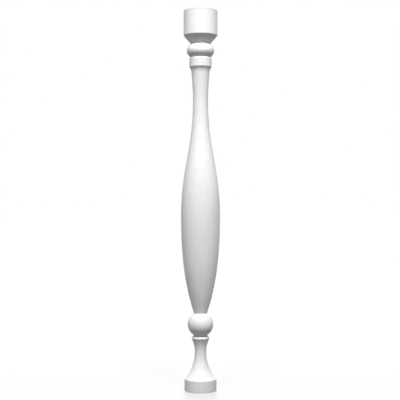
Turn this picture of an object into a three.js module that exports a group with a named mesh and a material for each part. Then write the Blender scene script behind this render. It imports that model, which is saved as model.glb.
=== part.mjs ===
// Turned stone baluster, one solid piece of stone.
// Millimetres, +Z up. The origin is the middle of the underside and +Z is the axis of turning.
// Every moulding is a stretch of one outline. Its points are a distance from the axis and a level
// above the underside.

import * as THREE from 'three';

// Overall height, and how closely flat faces follow the round
const HEIGHT = 900;
const FLATS_AROUND = 64;
const FLATNESS = 0.1;

// Base drum, and the hollow, trumpet-shaped foot that rises from it to a lip
const BASE_RADIUS = 38;
const BASE_HEIGHT = 27.5;
const FOOT_WAIST_RADIUS = 13.6;
const FOOT_WAIST_LEVEL = 91;
const LIP_RADIUS = 22;
const LIP_LEVEL = 124.2;

// Ball that sits in the lip's sloping top and carries the shaft
const BALL_RADIUS = 30.4;
const BALL_LEVEL = 156.8;
const BALL_SEAT_RADIUS = 15.6;

// Shaft: a swelling belly, drawn in to a slim waist, then eased out again below the collar.
// A tangent level is where the upright line through the belly or waist meets the curve's other end tangent,
// and the ease is how far the curve holds upright at each end, as a share of the rise from belly to waist.
const BELLY_RADIUS = 46.4;
const BELLY_LEVEL = 409.5;
const BELLY_TANGENT_LEVEL = 272;
const WAIST_RADIUS = 17.8;
const WAIST_LEVEL = 689.5;
const WAIST_TANGENT_LEVEL = 707.5;
const BELLY_TO_WAIST_EASE = 0.42;
const SHAFT_TOP_RADIUS = 21.4;
const SHAFT_TOP_LEVEL = 753;

// Collar, with a small hollow under it and a sloping shoulder above
const COLLAR_HOLLOW_LEVEL = 762;
const COLLAR_RADIUS = 26.5;
const COLLAR_LEVEL = 767;
const COLLAR_SHOULDER_LEVEL = 786.7;

// Bead above the collar
const BEAD_RADIUS = 32.7;
const BEAD_SECTION_RADIUS = 16.6;
const BEAD_LEVEL = 805.6;
const BEAD_FOOT_RADIUS = 23.8;
const BEAD_TOP_RADIUS = 22.4;

// Cap drum on a straight cone
const CAP_RADIUS = 40.2;
const CAP_LEVEL = 841.4;

const point = (radius, level) => new THREE.Vector2(radius, level);

// Number of straight steps that stay within FLATNESS of a curve.
// A step strays from its curve by an eighth of its length times the angle that it turns through.
function stepsAlong(curve) {
  const middle = curve.getTangent(0.5);
  const turn = curve.getTangent(0).angleTo(middle) + middle.angleTo(curve.getTangent(1));
  return Math.ceil(Math.sqrt((curve.getLength() * turn) / (8 * FLATNESS)));
}

// Joins a curve to the outline, leaving out the point that it shares with the stretch below it.
function addCurve(outline, curve) {
  outline.push(...curve.getPoints(stepsAlong(curve)).slice(1));
}

// A circular arc from one angle to another, either way round.
function arc(centre, radius, start, end) {
  return new THREE.EllipseCurve(centre.x, centre.y, radius, radius, start, end, end < start);
}

// Radius of the arc that leaves the foot's waist upright and ends at the given distance and level.
function footArcRadius(radius, level) {
  const out = radius - FOOT_WAIST_RADIUS;
  const away = level - FOOT_WAIST_LEVEL;
  return (out * out + away * away) / (2 * out);
}

function addBase(outline) {
  outline.push(point(0, 0), point(BASE_RADIUS, 0), point(BASE_RADIUS, BASE_HEIGHT));
}

function addFoot(outline) {
  const lower = footArcRadius(BASE_RADIUS, BASE_HEIGHT);
  const upper = footArcRadius(LIP_RADIUS, LIP_LEVEL);
  const spread = Math.asin((FOOT_WAIST_LEVEL - BASE_HEIGHT) / lower);
  const rise = Math.asin((LIP_LEVEL - FOOT_WAIST_LEVEL) / upper);
  const lowerCentre = point(FOOT_WAIST_RADIUS + lower, FOOT_WAIST_LEVEL);
  const upperCentre = point(FOOT_WAIST_RADIUS + upper, FOOT_WAIST_LEVEL);
  addCurve(outline, arc(lowerCentre, lower, Math.PI + spread, Math.PI));
  addCurve(outline, arc(upperCentre, upper, Math.PI, Math.PI - rise));
}

function addBall(outline) {
  const seat = Math.acos(BALL_SEAT_RADIUS / BALL_RADIUS);
  const ball = arc(point(0, BALL_LEVEL), BALL_RADIUS, -seat, seat);
  outline.push(ball.getPoint(0));
  addCurve(outline, ball);
}

function addShaft(outline) {
  const ballTop = outline.at(-1);
  const belly = point(BELLY_RADIUS, BELLY_LEVEL);
  const waist = point(WAIST_RADIUS, WAIST_LEVEL);
  const top = point(SHAFT_TOP_RADIUS, SHAFT_TOP_LEVEL);
  const ease = BELLY_TO_WAIST_EASE * (WAIST_LEVEL - BELLY_LEVEL);
  const aboveBelly = point(BELLY_RADIUS, BELLY_LEVEL + ease);
  const belowWaist = point(WAIST_RADIUS, WAIST_LEVEL - ease);
  const bellyTangent = point(BELLY_RADIUS, BELLY_TANGENT_LEVEL);
  const waistTangent = point(WAIST_RADIUS, WAIST_TANGENT_LEVEL);
  addCurve(outline, new THREE.QuadraticBezierCurve(ballTop, bellyTangent, belly));
  addCurve(outline, new THREE.CubicBezierCurve(belly, aboveBelly, belowWaist, waist));
  addCurve(outline, new THREE.QuadraticBezierCurve(waist, waistTangent, top));
}

function addCollar(outline) {
  const shaftTop = outline.at(-1);
  const slope = (SHAFT_TOP_RADIUS - WAIST_RADIUS) / (SHAFT_TOP_LEVEL - WAIST_TANGENT_LEVEL);
  const hollowRadius = SHAFT_TOP_RADIUS + slope * (COLLAR_HOLLOW_LEVEL - SHAFT_TOP_LEVEL);
  const hollow = point(hollowRadius, COLLAR_HOLLOW_LEVEL);
  const lowerEdge = point(COLLAR_RADIUS, COLLAR_LEVEL);
  addCurve(outline, new THREE.QuadraticBezierCurve(shaftTop, hollow, lowerEdge));
  outline.push(point(COLLAR_RADIUS, COLLAR_SHOULDER_LEVEL));
}

function addBead(outline) {
  const centre = point(BEAD_RADIUS - BEAD_SECTION_RADIUS, BEAD_LEVEL);
  const foot = Math.acos((BEAD_FOOT_RADIUS - centre.x) / BEAD_SECTION_RADIUS);
  const top = Math.acos((BEAD_TOP_RADIUS - centre.x) / BEAD_SECTION_RADIUS);
  const bead = arc(centre, BEAD_SECTION_RADIUS, -foot, top);
  outline.push(bead.getPoint(0));
  addCurve(outline, bead);
}

function addCap(outline) {
  outline.push(point(CAP_RADIUS, CAP_LEVEL), point(CAP_RADIUS, HEIGHT), point(0, HEIGHT));
}

const outline = [];
addBase(outline);
addFoot(outline);
addBall(outline);
addShaft(outline);
addCollar(outline);
addBead(outline);
addCap(outline);

const stone = new THREE.MeshStandardMaterial({ color: 0xe8e6e1, roughness: 0.7, metalness: 0 });

const geometry = new THREE.LatheGeometry(outline, FLATS_AROUND);
geometry.rotateX(Math.PI / 2);

const baluster = new THREE.Mesh(geometry, stone);
baluster.name = 'baluster';

const group = new THREE.Group();
group.add(baluster);

export default group;
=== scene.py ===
"""Looks of the turned stone baluster: a fine mesh, rubbed white stone, a pale studio and the camera."""

import math

import bmesh
import bpy
from mathutils import Euler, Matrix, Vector


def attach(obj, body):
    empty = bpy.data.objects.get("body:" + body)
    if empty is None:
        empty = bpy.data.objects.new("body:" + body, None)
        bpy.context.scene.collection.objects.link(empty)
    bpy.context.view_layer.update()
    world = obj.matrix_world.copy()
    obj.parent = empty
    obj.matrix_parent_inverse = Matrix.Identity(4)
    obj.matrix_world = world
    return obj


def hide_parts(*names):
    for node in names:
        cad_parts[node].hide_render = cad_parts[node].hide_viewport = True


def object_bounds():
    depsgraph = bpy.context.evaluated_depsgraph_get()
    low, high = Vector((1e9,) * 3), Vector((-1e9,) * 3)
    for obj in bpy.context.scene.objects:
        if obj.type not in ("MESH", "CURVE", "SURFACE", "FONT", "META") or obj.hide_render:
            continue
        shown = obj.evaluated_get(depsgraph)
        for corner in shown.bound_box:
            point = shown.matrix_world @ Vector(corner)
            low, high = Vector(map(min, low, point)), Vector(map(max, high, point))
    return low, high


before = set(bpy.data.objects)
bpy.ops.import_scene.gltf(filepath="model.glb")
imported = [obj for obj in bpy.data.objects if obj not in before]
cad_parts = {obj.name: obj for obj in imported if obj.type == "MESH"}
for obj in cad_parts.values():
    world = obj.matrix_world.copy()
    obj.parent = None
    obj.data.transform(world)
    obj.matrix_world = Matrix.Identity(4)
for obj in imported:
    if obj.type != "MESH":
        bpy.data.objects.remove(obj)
CAD_LOW, CAD_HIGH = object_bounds()

# Sizes read from the solid model
HEIGHT = CAD_HIGH.z - CAD_LOW.z
BELLY_RADIUS = (CAD_HIGH.x - CAD_LOW.x) / 2

# The outline's sizes follow, in metres. A radius is a distance from the axis, or the radius of the round
# form that it is named for, and a level is a height above the underside.

# Base drum, and the hollow, trumpet-shaped foot that rises from it to a lip
BASE_RADIUS = 0.0380
BASE_HEIGHT = 0.0275
FOOT_WAIST_RADIUS = 0.0136
FOOT_WAIST_LEVEL = 0.0910
LIP_RADIUS = 0.0220
LIP_LEVEL = 0.1242

# Ball that sits in the lip's sloping top and carries the shaft
BALL_RADIUS = 0.0304
BALL_LEVEL = 0.1568
BALL_SEAT_RADIUS = 0.0156

# Shaft: a swelling belly, drawn in to a slim waist, then eased out again below the collar.
# A tangent level is where the upright line through the belly or waist meets the curve's other end tangent,
# and the ease is how far the curve holds upright at each end, as a share of the rise from belly to waist.
BELLY_LEVEL = 0.4095
BELLY_TANGENT_LEVEL = 0.2720
WAIST_RADIUS = 0.0178
WAIST_LEVEL = 0.6895
WAIST_TANGENT_LEVEL = 0.7075
BELLY_TO_WAIST_EASE = 0.42
SHAFT_TOP_RADIUS = 0.0214
SHAFT_TOP_LEVEL = 0.7530

# Collar, with a small hollow under it and a sloping shoulder above
COLLAR_HOLLOW_LEVEL = 0.7620
COLLAR_RADIUS = 0.0265
COLLAR_LEVEL = 0.7670
COLLAR_SHOULDER_LEVEL = 0.7867

# Bead above the collar
BEAD_RADIUS = 0.0327
BEAD_SECTION_RADIUS = 0.0166
BEAD_LEVEL = 0.8056
BEAD_FOOT_RADIUS = 0.0238
BEAD_TOP_RADIUS = 0.0224

# Cap drum on a straight cone
CAP_RADIUS = 0.0402
CAP_LEVEL = 0.8414

# How finely the mesh is cut, how near a vertex is to count as on a corner, and how far edges are eased
STEPS_AROUND = 192
MOULDING_STEP = 0.002
SHAFT_STEP = 0.004
WELD = 0.00001
ON_CORNER = 0.0001
ARRIS_EASE = 0.0006
JOINT_EASE = 0.0003
EASE_STEPS = 3

# Reach of the brighter rubbing along the arrises, of the dust that gathers in the joints, and of the
# painted shade, a darker band, below the top rim
RUBBED_REACH = 0.0020
DUST_REACH = 0.0030
PAINTED_RIM_SHADE_REACH = 0.0030

# Colours of the stone: its clear and clouded body, where it is rubbed most, the painted shade below the top
# rim, pores and dust
CLEAR_STONE = (0.850, 0.847, 0.840, 1)
CLOUDED_STONE = (0.800, 0.799, 0.796, 1)
RUBBED_STONE = (0.880, 0.878, 0.872, 1)
PAINTED_RIM_SHADE = (0.600, 0.598, 0.592, 1)
PORE = (0.520, 0.510, 0.490, 1)
DUST = (0.560, 0.550, 0.530, 1)

# How much of those colours shows at most, and for dust between thin and thick patches
RUBBED_SHARE = 0.7
PAINTED_RIM_SHADE_SHARE = 0.8
PORE_SHARE = 0.7
DUST_SHARES = (0.05, 0.35)

# Shades that multiply the colour: of single crystals, of the grain, and of the top and underside, where
# painted shade darkens the colour to about half and changes from pass to pass of the saw
CRYSTAL_SHADES = (0.97, 1.02)
GRAIN_SHADES = (0.97, 1.03)
SAW_PASSES_AND_PAINTED_SHADE = (0.49, 0.55)

# Texture of the stone, in features per metre. The rings are counted along the axis, and change across the
# stone by only the given share of that.
CLOUDS = 13
CRYSTALS = 420
GRAINS = 1300
PORE_CELLS = 150
DUST_PATCHES = 90
RINGS = 900
RING_WAVER = 0.02

# Pores: the share of cells that have none, and where a pore's edge starts and ends, as a share of its cell
PORELESS = 0.72
PORE_EDGE = (0.05, 0.11)

# Scale of the wave texture that sets the saw's passes 1.6 mm apart, and how they waver
SAW_SCALE = 200
SAW_WAVER = 1.6

# Ranges of values that the textures give
WHOLE = (0, 1)
NOISE_RANGE = (0.3, 0.7)
CLOUD_RANGE = (0.32, 0.68)

# Relief of the surface: the depth of its grain in metres, and the rest measured against the grain
GRAIN_DEPTH = 0.00006
CRYSTAL_RELIEF = 0.35
PORE_RELIEF = 3
RING_RELIEF = 0.6
SAW_RELIEF = 1.2

# Gloss of the stone, its roughness from clear to clouded, and what dust adds to that and rubbing takes away
STONE_GLOSS = 0.25
RUBBED_ROUGHNESS = (0.52, 0.60)
SAWN_ROUGHNESS = (0.78, 0.88)
DUST_ROUGHNESS = 0.2
ARRIS_SMOOTHNESS = 0.1

# Floor: its side, colour and roughness, and how much light it gives off so that shadows on it stay faint
FLOOR_SIDE = 40
FLOOR_COLOUR = (0.08, 0.08, 0.08, 1)
FLOOR_ROUGHNESS = 0.4
FLOOR_GLOW = 0.65

# Room: how brightly it lights the stone and how bright gloss mirrors it, against the white that it shows
WHITE = (1, 1, 1, 1)
ROOM_LIGHT = 0.17
ROOM_MIRRORED = 1.2

# The photograph's frame in pixels, and the camera's field of view
PHOTO_SIDE = 400
PHOTO_TOP_ROW = 11.00
PHOTO_FOOT_ROW = 390.10
PHOTO_AXIS_COLUMN = 200.51
FIELD_OF_VIEW = math.radians(24.5)


def at(radius, level):
    """A point of the outline."""
    return Vector((radius, level))


def straight(start, end, step):
    """Points along a straight stretch, without its first one."""
    count = max(1, round((end - start).length / step))
    return [start.lerp(end, k / count) for k in range(1, count + 1)]


def arc(centre, radius, start, end, step):
    """Points along a circular stretch from one angle to another, without the first one."""
    count = max(1, round(abs(end - start) * radius / step))
    angles = [start + (end - start) * k / count for k in range(1, count + 1)]
    return [centre + radius * at(math.cos(angle), math.sin(angle)) for angle in angles]


def on_curve(controls, share):
    """The point at a share of the way along a curve that its control points pull."""
    while len(controls) > 1:
        controls = [low.lerp(high, share) for low, high in zip(controls, controls[1:])]
    return controls[0]


def curve(controls, step):
    """Points along such a curve, without the first one."""
    count = max(1, round((controls[-1] - controls[0]).length / step))
    return [on_curve(controls, k / count) for k in range(1, count + 1)]


def foot_arc(radius, level):
    """Centre and radius of the arc that leaves the foot's waist upright and ends at the given point."""
    out = radius - FOOT_WAIST_RADIUS
    away = level - FOOT_WAIST_LEVEL
    sweep = (out * out + away * away) / (2 * out)
    return at(FOOT_WAIST_RADIUS + sweep, FOOT_WAIST_LEVEL), sweep


def ball_rise():
    """Height from the middle of the ball to where the shaft leaves it, and as far down to its seat."""
    return math.sqrt(BALL_RADIUS**2 - BALL_SEAT_RADIUS**2)


def bead_rise(radius):
    """Height from the middle of the bead to where its round section is at a distance from the axis."""
    across = radius - (BEAD_RADIUS - BEAD_SECTION_RADIUS)
    return math.sqrt(BEAD_SECTION_RADIUS**2 - across**2)


def base_and_foot():
    """Underside, drum and trumpet foot, up to the lip's edge."""
    rim = at(BASE_RADIUS, 0)
    shoulder = at(BASE_RADIUS, BASE_HEIGHT)
    points = [at(0, 0)]
    points += straight(points[-1], rim, MOULDING_STEP)
    points += straight(rim, shoulder, MOULDING_STEP)
    low_centre, low_sweep = foot_arc(BASE_RADIUS, BASE_HEIGHT)
    high_centre, high_sweep = foot_arc(LIP_RADIUS, LIP_LEVEL)
    spread_angle = math.asin((FOOT_WAIST_LEVEL - BASE_HEIGHT) / low_sweep)
    rise_angle = math.asin((LIP_LEVEL - FOOT_WAIST_LEVEL) / high_sweep)
    points += arc(low_centre, low_sweep, math.pi + spread_angle, math.pi, MOULDING_STEP)
    points += arc(high_centre, high_sweep, math.pi, math.pi - rise_angle, MOULDING_STEP)
    return points


def ball():
    """The lip's sloping top and the ball that sits in it."""
    seat = at(BALL_SEAT_RADIUS, BALL_LEVEL - ball_rise())
    seat_angle = math.acos(BALL_SEAT_RADIUS / BALL_RADIUS)
    points = straight(at(LIP_RADIUS, LIP_LEVEL), seat, MOULDING_STEP)
    return points + arc(at(0, BALL_LEVEL), BALL_RADIUS, -seat_angle, seat_angle, MOULDING_STEP)


def shaft(start):
    """The swelling belly, the slim waist and the ease below the collar."""
    belly = at(BELLY_RADIUS, BELLY_LEVEL)
    waist = at(WAIST_RADIUS, WAIST_LEVEL)
    top = at(SHAFT_TOP_RADIUS, SHAFT_TOP_LEVEL)
    ease = at(0, BELLY_TO_WAIST_EASE * (WAIST_LEVEL - BELLY_LEVEL))
    points = curve([start, at(BELLY_RADIUS, BELLY_TANGENT_LEVEL), belly], SHAFT_STEP)
    points += curve([belly, belly + ease, waist - ease, waist], SHAFT_STEP)
    points += curve([waist, at(WAIST_RADIUS, WAIST_TANGENT_LEVEL), top], SHAFT_STEP)
    return points


def collar():
    """The small hollow under the collar and the collar itself, up to its shoulder."""
    top = at(SHAFT_TOP_RADIUS, SHAFT_TOP_LEVEL)
    slope = (SHAFT_TOP_RADIUS - WAIST_RADIUS) / (SHAFT_TOP_LEVEL - WAIST_TANGENT_LEVEL)
    hollow = at(SHAFT_TOP_RADIUS + slope * (COLLAR_HOLLOW_LEVEL - SHAFT_TOP_LEVEL), COLLAR_HOLLOW_LEVEL)
    edge = at(COLLAR_RADIUS, COLLAR_LEVEL)
    shoulder = at(COLLAR_RADIUS, COLLAR_SHOULDER_LEVEL)
    return curve([top, hollow, edge], MOULDING_STEP) + straight(edge, shoulder, MOULDING_STEP)


def bead_and_cap():
    """The collar's sloping shoulder, the bead, the cone and the cap drum, closed on the axis."""
    centre = at(BEAD_RADIUS - BEAD_SECTION_RADIUS, BEAD_LEVEL)
    foot = at(BEAD_FOOT_RADIUS, BEAD_LEVEL - bead_rise(BEAD_FOOT_RADIUS))
    foot_angle = math.acos((BEAD_FOOT_RADIUS - centre.x) / BEAD_SECTION_RADIUS)
    top_angle = math.acos((BEAD_TOP_RADIUS - centre.x) / BEAD_SECTION_RADIUS)
    points = straight(at(COLLAR_RADIUS, COLLAR_SHOULDER_LEVEL), foot, MOULDING_STEP)
    points += arc(centre, BEAD_SECTION_RADIUS, -foot_angle, top_angle, MOULDING_STEP)
    corners = [points[-1], at(CAP_RADIUS, CAP_LEVEL), at(CAP_RADIUS, HEIGHT), at(0, HEIGHT)]
    for low, high in zip(corners, corners[1:]):
        points += straight(low, high, MOULDING_STEP)
    return points


def outline():
    """The whole outline, from the middle of the underside to the middle of the top."""
    points = base_and_foot()
    points += ball()
    points += shaft(points[-1])
    points += collar()
    points += bead_and_cap()
    return points


def turn(points):
    """Draws the outline as a chain of edges beside the axis and spins it into a closed mesh."""
    bpy.ops.object.select_all(action="DESELECT")
    bpy.ops.mesh.primitive_plane_add(size=BASE_RADIUS)
    piece = bpy.context.object
    piece.name = "turned_baluster"
    bpy.ops.object.mode_set(mode="EDIT")
    bpy.ops.mesh.merge(type="CENTER")
    for start, end in zip(points, points[1:]):
        move = end - start
        bpy.ops.mesh.extrude_region_move(TRANSFORM_OT_translate={"value": (move.x, 0, move.y)})
    bpy.ops.mesh.select_all(action="SELECT")
    bpy.ops.mesh.spin(steps=STEPS_AROUND, angle=math.tau, center=(0, 0, 0), axis=(0, 0, 1))
    bpy.ops.mesh.select_all(action="SELECT")
    bpy.ops.mesh.remove_doubles(threshold=WELD)
    bpy.ops.mesh.normals_make_consistent(inside=False)
    bpy.ops.object.mode_set(mode="OBJECT")
    return piece


def gap_to(corners, vertex):
    """Distance from a vertex to the nearest of the given corners of the outline."""
    place = at(math.hypot(vertex.co.x, vertex.co.y), vertex.co.z)
    return min((place - corner).length for corner in corners)


def ease_edges(piece, corners, width):
    """Rounds the ring edges that lie on the given corners of the outline."""
    bpy.ops.object.mode_set(mode="EDIT")
    bpy.ops.mesh.select_mode(type="EDGE")
    bpy.ops.mesh.select_all(action="DESELECT")
    mesh = bmesh.from_edit_mesh(piece.data)
    for edge in mesh.edges:
        if all(gap_to(corners, vertex) < ON_CORNER for vertex in edge.verts):
            edge.select_set(True)
    bmesh.update_edit_mesh(piece.data)
    bpy.ops.mesh.bevel(offset=width, segments=EASE_STEPS, profile=0.5, affect="EDGES")
    bpy.ops.object.mode_set(mode="OBJECT")


def outer_arrises():
    """Corners of the outline that stand out, from the bottom up."""
    return [
        at(BASE_RADIUS, 0),
        at(BASE_RADIUS, BASE_HEIGHT),
        at(LIP_RADIUS, LIP_LEVEL),
        at(COLLAR_RADIUS, COLLAR_LEVEL),
        at(COLLAR_RADIUS, COLLAR_SHOULDER_LEVEL),
        at(CAP_RADIUS, CAP_LEVEL),
        at(CAP_RADIUS, HEIGHT),
    ]


def inner_joints():
    """Corners of the outline where mouldings meet in a groove: below and above the ball, and the bead."""
    return [
        at(BALL_SEAT_RADIUS, BALL_LEVEL - ball_rise()),
        at(BALL_SEAT_RADIUS, BALL_LEVEL + ball_rise()),
        at(BEAD_FOOT_RADIUS, BEAD_LEVEL - bead_rise(BEAD_FOOT_RADIUS)),
        at(BEAD_TOP_RADIUS, BEAD_LEVEL + bead_rise(BEAD_TOP_RADIUS)),
    ]


def mark(piece, name, corners, reach):
    """Notes on each vertex how near it is to the given corners: 1 on a corner, fading past the reach."""
    note = piece.data.attributes.new(name, "FLOAT", "POINT")
    for vertex, entry in zip(piece.data.vertices, note.data):
        entry.value = math.exp(-((gap_to(corners, vertex) / reach) ** 2))


def add(tree, kind, inputs, **settings):
    """Adds a node, and links or sets each of its inputs."""
    node = tree.nodes.new("ShaderNode" + kind)
    for name, value in settings.items():
        setattr(node, name, value)
    for name, value in inputs.items():
        if isinstance(value, bpy.types.NodeSocket):
            tree.links.new(value, node.inputs[name])
        else:
            node.inputs[name].default_value = value
    return node


def mix(tree, share, first, second, way="MIX"):
    """Mixes two colours. The share is the node's input 0, the colours are 6 and 7, the mix is output 2."""
    return add(tree, "Mix", {0: share, 6: first, 7: second}, data_type="RGBA", blend_type=way).outputs[2]


def spread(tree, value, source, target):
    """Stretches a range of values to another one."""
    inputs = {"Value": value, "From Min": source[0], "From Max": source[1]}
    inputs.update({"To Min": target[0], "To Max": target[1]})
    return add(tree, "MapRange", inputs).outputs[0]


def reckon(tree, way, first, second):
    """Works out one number from two."""
    return add(tree, "Math", {0: first, 1: second}, operation=way).outputs[0]


def noise(tree, place, scale, detail, distortion=0):
    """Soft random patches."""
    inputs = {"Vector": place, "Scale": scale, "Detail": detail, "Distortion": distortion}
    return add(tree, "TexNoise", inputs).outputs[0]


def cells(tree, place, scale):
    """Cells of random size: a random value for each, and the distance from its middle."""
    texture = add(tree, "TexVoronoi", {"Vector": place, "Scale": scale}).outputs
    value = add(tree, "SeparateColor", {0: texture["Color"]}).outputs[0]
    return value, texture["Distance"]


def noted(tree, name):
    """What mark() noted on the mesh under a name."""
    return add(tree, "Attribute", {}, attribute_name=name).outputs["Fac"]


def stone_body(tree, place):
    """Colour and surface height of the fine-grained stone itself, before any finish, and its clouding."""
    cloud = spread(tree, noise(tree, place, CLOUDS, detail=5, distortion=0.7), CLOUD_RANGE, WHOLE)
    grain = noise(tree, place, GRAINS, detail=2)
    crystal, _ = cells(tree, place, CRYSTALS)
    rare, from_middle = cells(tree, place, PORE_CELLS)
    hole = spread(tree, from_middle, PORE_EDGE, (1, 0))
    pore = reckon(tree, "MULTIPLY", hole, reckon(tree, "GREATER_THAN", rare, PORELESS))
    colour = mix(tree, cloud, CLEAR_STONE, CLOUDED_STONE)
    colour = mix(tree, 1, colour, spread(tree, crystal, WHOLE, CRYSTAL_SHADES), "MULTIPLY")
    colour = mix(tree, 1, colour, spread(tree, grain, NOISE_RANGE, GRAIN_SHADES), "MULTIPLY")
    colour = mix(tree, reckon(tree, "MULTIPLY", pore, PORE_SHARE), colour, PORE)
    height = reckon(tree, "ADD", reckon(tree, "MULTIPLY", crystal, CRYSTAL_RELIEF), grain)
    height = reckon(tree, "SUBTRACT", height, reckon(tree, "MULTIPLY", pore, PORE_RELIEF))
    return colour, height, cloud


def new_stone(name):
    """A new material, its nodes, and the place on the stone that its textures follow."""
    material = bpy.data.materials.new(name)
    material.use_nodes = True
    tree = material.node_tree
    place = add(tree, "TexCoord", {}).outputs["Object"]
    return material, tree, place


def dress(tree, colour, rough, height):
    """Gives the material's shader its colour, gloss, roughness and relief."""
    shader = tree.nodes["Principled BSDF"]
    shader.inputs["Specular IOR Level"].default_value = STONE_GLOSS
    bump = add(tree, "Bump", {"Height": height, "Distance": GRAIN_DEPTH, "Strength": 1})
    tree.links.new(colour, shader.inputs["Base Color"])
    tree.links.new(rough, shader.inputs["Roughness"])
    tree.links.new(bump.outputs["Normal"], shader.inputs["Normal"])


def rubbed_stone():
    """Turned and rubbed: faint rings, bright arrises, dust in the joints, a band of painted shade below the
    top rim.
    """
    material, tree, place = new_stone("rubbed_white_stone")
    colour, height, cloud = stone_body(tree, place)
    rubbed = noted(tree, "rubbed")
    dusty = noted(tree, "dusty")
    painted_rim_shade = noted(tree, "painted_rim_shade")
    dust_share = spread(tree, noise(tree, place, DUST_PATCHES, detail=3), NOISE_RANGE, DUST_SHARES)
    along = add(tree, "Mapping", {"Vector": place, "Scale": (RING_WAVER, RING_WAVER, 1)}).outputs[0]
    rings = noise(tree, along, RINGS, detail=2)
    height = reckon(tree, "ADD", height, reckon(tree, "MULTIPLY", rings, RING_RELIEF))
    colour = mix(tree, reckon(tree, "MULTIPLY", rubbed, RUBBED_SHARE), colour, RUBBED_STONE)
    colour = mix(tree, reckon(tree, "MULTIPLY", dusty, dust_share), colour, DUST)
    # Painted shade: a darker band below the top rim
    colour = mix(tree, reckon(tree, "MULTIPLY", painted_rim_shade, PAINTED_RIM_SHADE_SHARE), colour, PAINTED_RIM_SHADE)
    rough = spread(tree, cloud, WHOLE, RUBBED_ROUGHNESS)
    rough = reckon(tree, "ADD", rough, reckon(tree, "MULTIPLY", dusty, DUST_ROUGHNESS))
    rough = reckon(tree, "SUBTRACT", rough, reckon(tree, "MULTIPLY", rubbed, ARRIS_SMOOTHNESS))
    dress(tree, colour, rough, height)
    return material


def sawn_and_shaded_stone():
    """Top and underside as the saw left them, duller and with its passes showing, and darkened with painted
    shade.
    """
    material, tree, place = new_stone("sawn_white_stone_painted_shade")
    colour, height, cloud = stone_body(tree, place)
    blade = {"Vector": place, "Scale": SAW_SCALE, "Distortion": SAW_WAVER, "Detail": 2}
    passes = add(tree, "TexWave", blade).outputs["Fac"]
    # Painted shade: the colour of the top and underside is darkened to about half, varied by the saw's
    # passes
    colour = mix(tree, 1, colour, spread(tree, passes, WHOLE, SAW_PASSES_AND_PAINTED_SHADE), "MULTIPLY")
    rough = spread(tree, cloud, WHOLE, SAWN_ROUGHNESS)
    height = reckon(tree, "ADD", height, reckon(tree, "MULTIPLY", passes, SAW_RELIEF))
    dress(tree, colour, rough, height)
    return material


def finish_stone(piece):
    """Rubbed stone all round, and sawn stone darkened with painted shade on the flat top and underside and
    on the arrises around them.
    """
    rubbed = [corner for corner in outer_arrises() if 0 < corner.y < HEIGHT]
    mark(piece, "rubbed", rubbed, RUBBED_REACH)
    mark(piece, "dusty", inner_joints(), DUST_REACH)
    # Painted shade: where the darker band below the top rim goes
    mark(piece, "painted_rim_shade", [at(CAP_RADIUS, HEIGHT)], PAINTED_RIM_SHADE_REACH)
    piece.data.materials.append(rubbed_stone())
    # The top and underside get the sawn stone with its painted shade
    sawn_and_shaded = len(piece.data.materials)
    piece.data.materials.append(sawn_and_shaded_stone())
    for face in piece.data.polygons:
        if min(face.center.z, HEIGHT - face.center.z) < ARRIS_EASE:
            face.material_index = sawn_and_shaded


def pale_floor():
    """A satin floor: pale from above, where soft shadows show, and white where it mirrors the room."""
    bpy.ops.object.select_all(action="DESELECT")
    bpy.ops.mesh.primitive_plane_add(size=FLOOR_SIDE)
    floor = bpy.context.object
    floor.name = "pale_floor"
    floor.visible_diffuse = False
    floor.visible_glossy = False
    material = bpy.data.materials.new("satin_white_floor")
    material.use_nodes = True
    material.cycles.emission_sampling = "NONE"
    shader = material.node_tree.nodes["Principled BSDF"]
    shader.inputs["Base Color"].default_value = FLOOR_COLOUR
    shader.inputs["Roughness"].default_value = FLOOR_ROUGHNESS
    shader.inputs["Emission Color"].default_value = WHITE
    shader.inputs["Emission Strength"].default_value = FLOOR_GLOW
    floor.data.materials.append(material)


def pale_room():
    """A white room, seen white and mirrored white, that lights the stone only dimly from all round."""
    world = bpy.data.worlds.new("pale_room")
    world.use_nodes = True
    tree = world.node_tree
    ray = add(tree, "LightPath", {}).outputs
    mirrored = spread(tree, ray["Is Glossy Ray"], WHOLE, (ROOM_LIGHT, ROOM_MIRRORED))
    seen = reckon(tree, "MAXIMUM", mirrored, ray["Is Camera Ray"])
    background = tree.nodes["Background"]
    background.inputs["Color"].default_value = WHITE
    tree.links.new(seen, background.inputs["Strength"])
    bpy.context.scene.world = world


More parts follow.
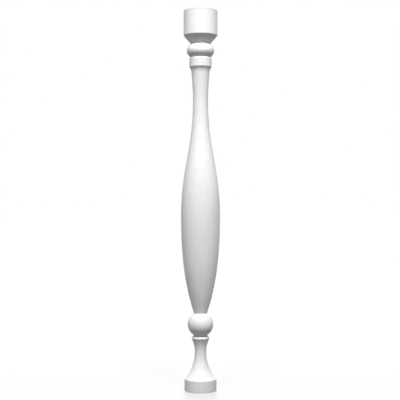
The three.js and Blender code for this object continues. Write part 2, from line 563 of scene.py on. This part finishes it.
def softbox(name, bearing, rise, distance, size, power, mirrored=True):
    """A round soft light aimed at the middle of the baluster. Bearing 0 is in front, and 90 to the right.

    Bearing and rise are in degrees, distance and size in metres, and power in watts.
    """
    data = bpy.data.lights.new(name, "AREA")
    data.shape = "DISK"
    data.size = size
    data.energy = power
    light = bpy.data.objects.new(name, data)
    away = Vector((0, -distance, 0))
    away.rotate(Euler((-math.radians(rise), 0, math.radians(bearing))))
    light.location = away + Vector((0, 0, HEIGHT / 2))
    light.rotation_euler = (-away).to_track_quat("-Z", "Y").to_euler()
    light.visible_camera = False
    light.visible_glossy = mirrored
    bpy.context.collection.objects.link(light)


def light_studio():
    """Two soft lights in front, a weak one overhead and one behind, in the pale room."""
    softbox("front_left", bearing=-25, rise=54, distance=3.6, size=0.9, power=79)
    softbox("front_right", bearing=25, rise=54, distance=3.6, size=0.9, power=91)
    softbox("overhead", bearing=8, rise=72, distance=1.8, size=0.6, power=7.2)
    softbox("back", bearing=180, rise=31, distance=3.2, size=0.9, power=80, mirrored=False)
    pale_room()
    bpy.context.scene.view_settings.view_transform = "Standard"


def make_camera():
    """Stands level in front of the baluster, where the photograph's outline and framing put it."""
    pixel = HEIGHT / (PHOTO_FOOT_ROW - PHOTO_TOP_ROW)
    middle = PHOTO_SIDE / 2
    distance = middle / math.tan(FIELD_OF_VIEW / 2) * pixel
    data = bpy.data.cameras.new("camera")
    data.lens_unit = "FOV"
    data.angle = FIELD_OF_VIEW
    camera = bpy.data.objects.new("camera", data)
    camera.location = ((middle - PHOTO_AXIS_COLUMN) * pixel, -distance, (PHOTO_FOOT_ROW - middle) * pixel)
    camera.rotation_euler = (math.pi / 2, 0, 0)
    bpy.context.collection.objects.link(camera)
    bpy.context.scene.camera = camera


baluster = turn(outline())
ease_edges(baluster, outer_arrises(), ARRIS_EASE)
ease_edges(baluster, inner_joints(), JOINT_EASE)
bpy.ops.object.shade_smooth()
finish_stone(baluster)
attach(baluster, "root")
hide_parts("baluster")
pale_floor()
light_studio()
make_camera()
